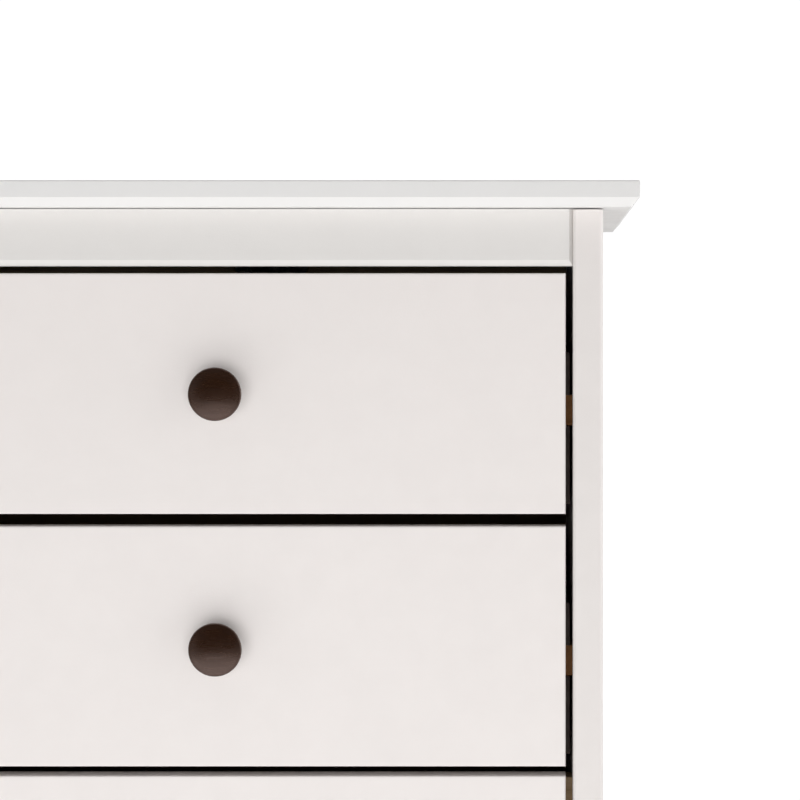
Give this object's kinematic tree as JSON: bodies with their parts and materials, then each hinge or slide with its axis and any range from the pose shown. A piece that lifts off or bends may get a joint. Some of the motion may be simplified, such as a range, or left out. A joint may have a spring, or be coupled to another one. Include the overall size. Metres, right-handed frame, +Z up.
{
  "type": "chest of drawers",
  "caption": "Tall narrow white painted chest of drawers on legs, with an overhanging bevelled top, inset drawers on wooden side runners and round dark brown knobs.",
  "frame": {"origin": "on the floor, under the middle of the overall width and depth", "axes": "+Z up, front towards -Y, +X to the right of someone facing the front"},
  "size_m": [0.583, 0.4, 1.31],
  "materials": {
    "white_paint": "satin white paint over wood",
    "pale_wood": "planed, unfinished",
    "hardboard": "white faced hardboard",
    "grey_foil": "matt dark grey-brown foil over board",
    "runner_wood": "planed hardwood, waxed",
    "dowel_wood": "fluted beech",
    "knob_finish": "dark brown stain under satin lacquer",
    "zinc_steel": "bright zinc plate",
    "plastic": "moulded nylon"
  },
  "bodies": {
    "carcass": {"top_panel": "white_paint", "left_front_post": "white_paint", "right_front_post": "white_paint", "left_rear_post": "white_paint", "right_rear_post": "white_paint", "left_side_panel": "white_paint", "right_side_panel": "white_paint", "front_top_rail": "white_paint", "middle_rail": "pale_wood", "front_bottom_rail": "white_paint", "back_top_rail": "pale_wood", "back_bottom_rail": "pale_wood", "back_panel": "hardboard", "drawer_runners": "runner_wood", "countersunk_screws": "zinc_steel", "frame_dowels": "dowel_wood", "top_fixing_screws": "zinc_steel", "back_panel_nails": "zinc_steel", "foot_glides": "plastic", "wall_bracket": "zinc_steel"},
    "drawer_1": {"drawer_1_front": "white_paint", "drawer_1_left_side": "grey_foil", "drawer_1_right_side": "grey_foil", "drawer_1_back": "grey_foil", "drawer_1_bottom": "hardboard", "drawer_1_knob": "knob_finish", "drawer_1_knob_screw": "zinc_steel", "drawer_1_stop_pegs": "plastic"},
    "drawer_2": {"drawer_2_front": "white_paint", "drawer_2_left_side": "grey_foil", "drawer_2_right_side": "grey_foil", "drawer_2_back": "grey_foil", "drawer_2_bottom": "hardboard", "drawer_2_knob": "knob_finish", "drawer_2_knob_screw": "zinc_steel", "drawer_2_stop_pegs": "plastic"},
    "drawer_3": {"drawer_3_front": "white_paint", "drawer_3_left_side": "grey_foil", "drawer_3_right_side": "grey_foil", "drawer_3_back": "grey_foil", "drawer_3_bottom": "hardboard", "drawer_3_knob": "knob_finish", "drawer_3_knob_screw": "zinc_steel", "drawer_3_stop_pegs": "plastic"},
    "drawer_4": {"drawer_4_front": "white_paint", "drawer_4_left_side": "grey_foil", "drawer_4_right_side": "grey_foil", "drawer_4_back": "grey_foil", "drawer_4_bottom": "hardboard", "drawer_4_knob": "knob_finish", "drawer_4_knob_screw": "zinc_steel", "drawer_4_stop_pegs": "plastic"},
    "drawer_5": {"drawer_5_front": "white_paint", "drawer_5_left_side": "grey_foil", "drawer_5_right_side": "grey_foil", "drawer_5_back": "grey_foil", "drawer_5_bottom": "hardboard", "drawer_5_knob": "knob_finish", "drawer_5_knob_screw": "zinc_steel", "drawer_5_stop_pegs": "plastic"}
  },
  "joints": [
    {"name": "drawer_1_slide", "type": "slide", "parent": "carcass", "child": "drawer_1", "axis": [0, -1, 0], "range_m": [0, 0.26]},
    {"name": "drawer_2_slide", "type": "slide", "parent": "carcass", "child": "drawer_2", "axis": [0, -1, 0], "range_m": [0, 0.26]},
    {"name": "drawer_3_slide", "type": "slide", "parent": "carcass", "child": "drawer_3", "axis": [0, -1, 0], "range_m": [0, 0.26]},
    {"name": "drawer_4_slide", "type": "slide", "parent": "carcass", "child": "drawer_4", "axis": [0, -1, 0], "range_m": [0, 0.26]},
    {"name": "drawer_5_slide", "type": "slide", "parent": "carcass", "child": "drawer_5", "axis": [0, -1, 0], "range_m": [0, 0.26]}
  ]
}
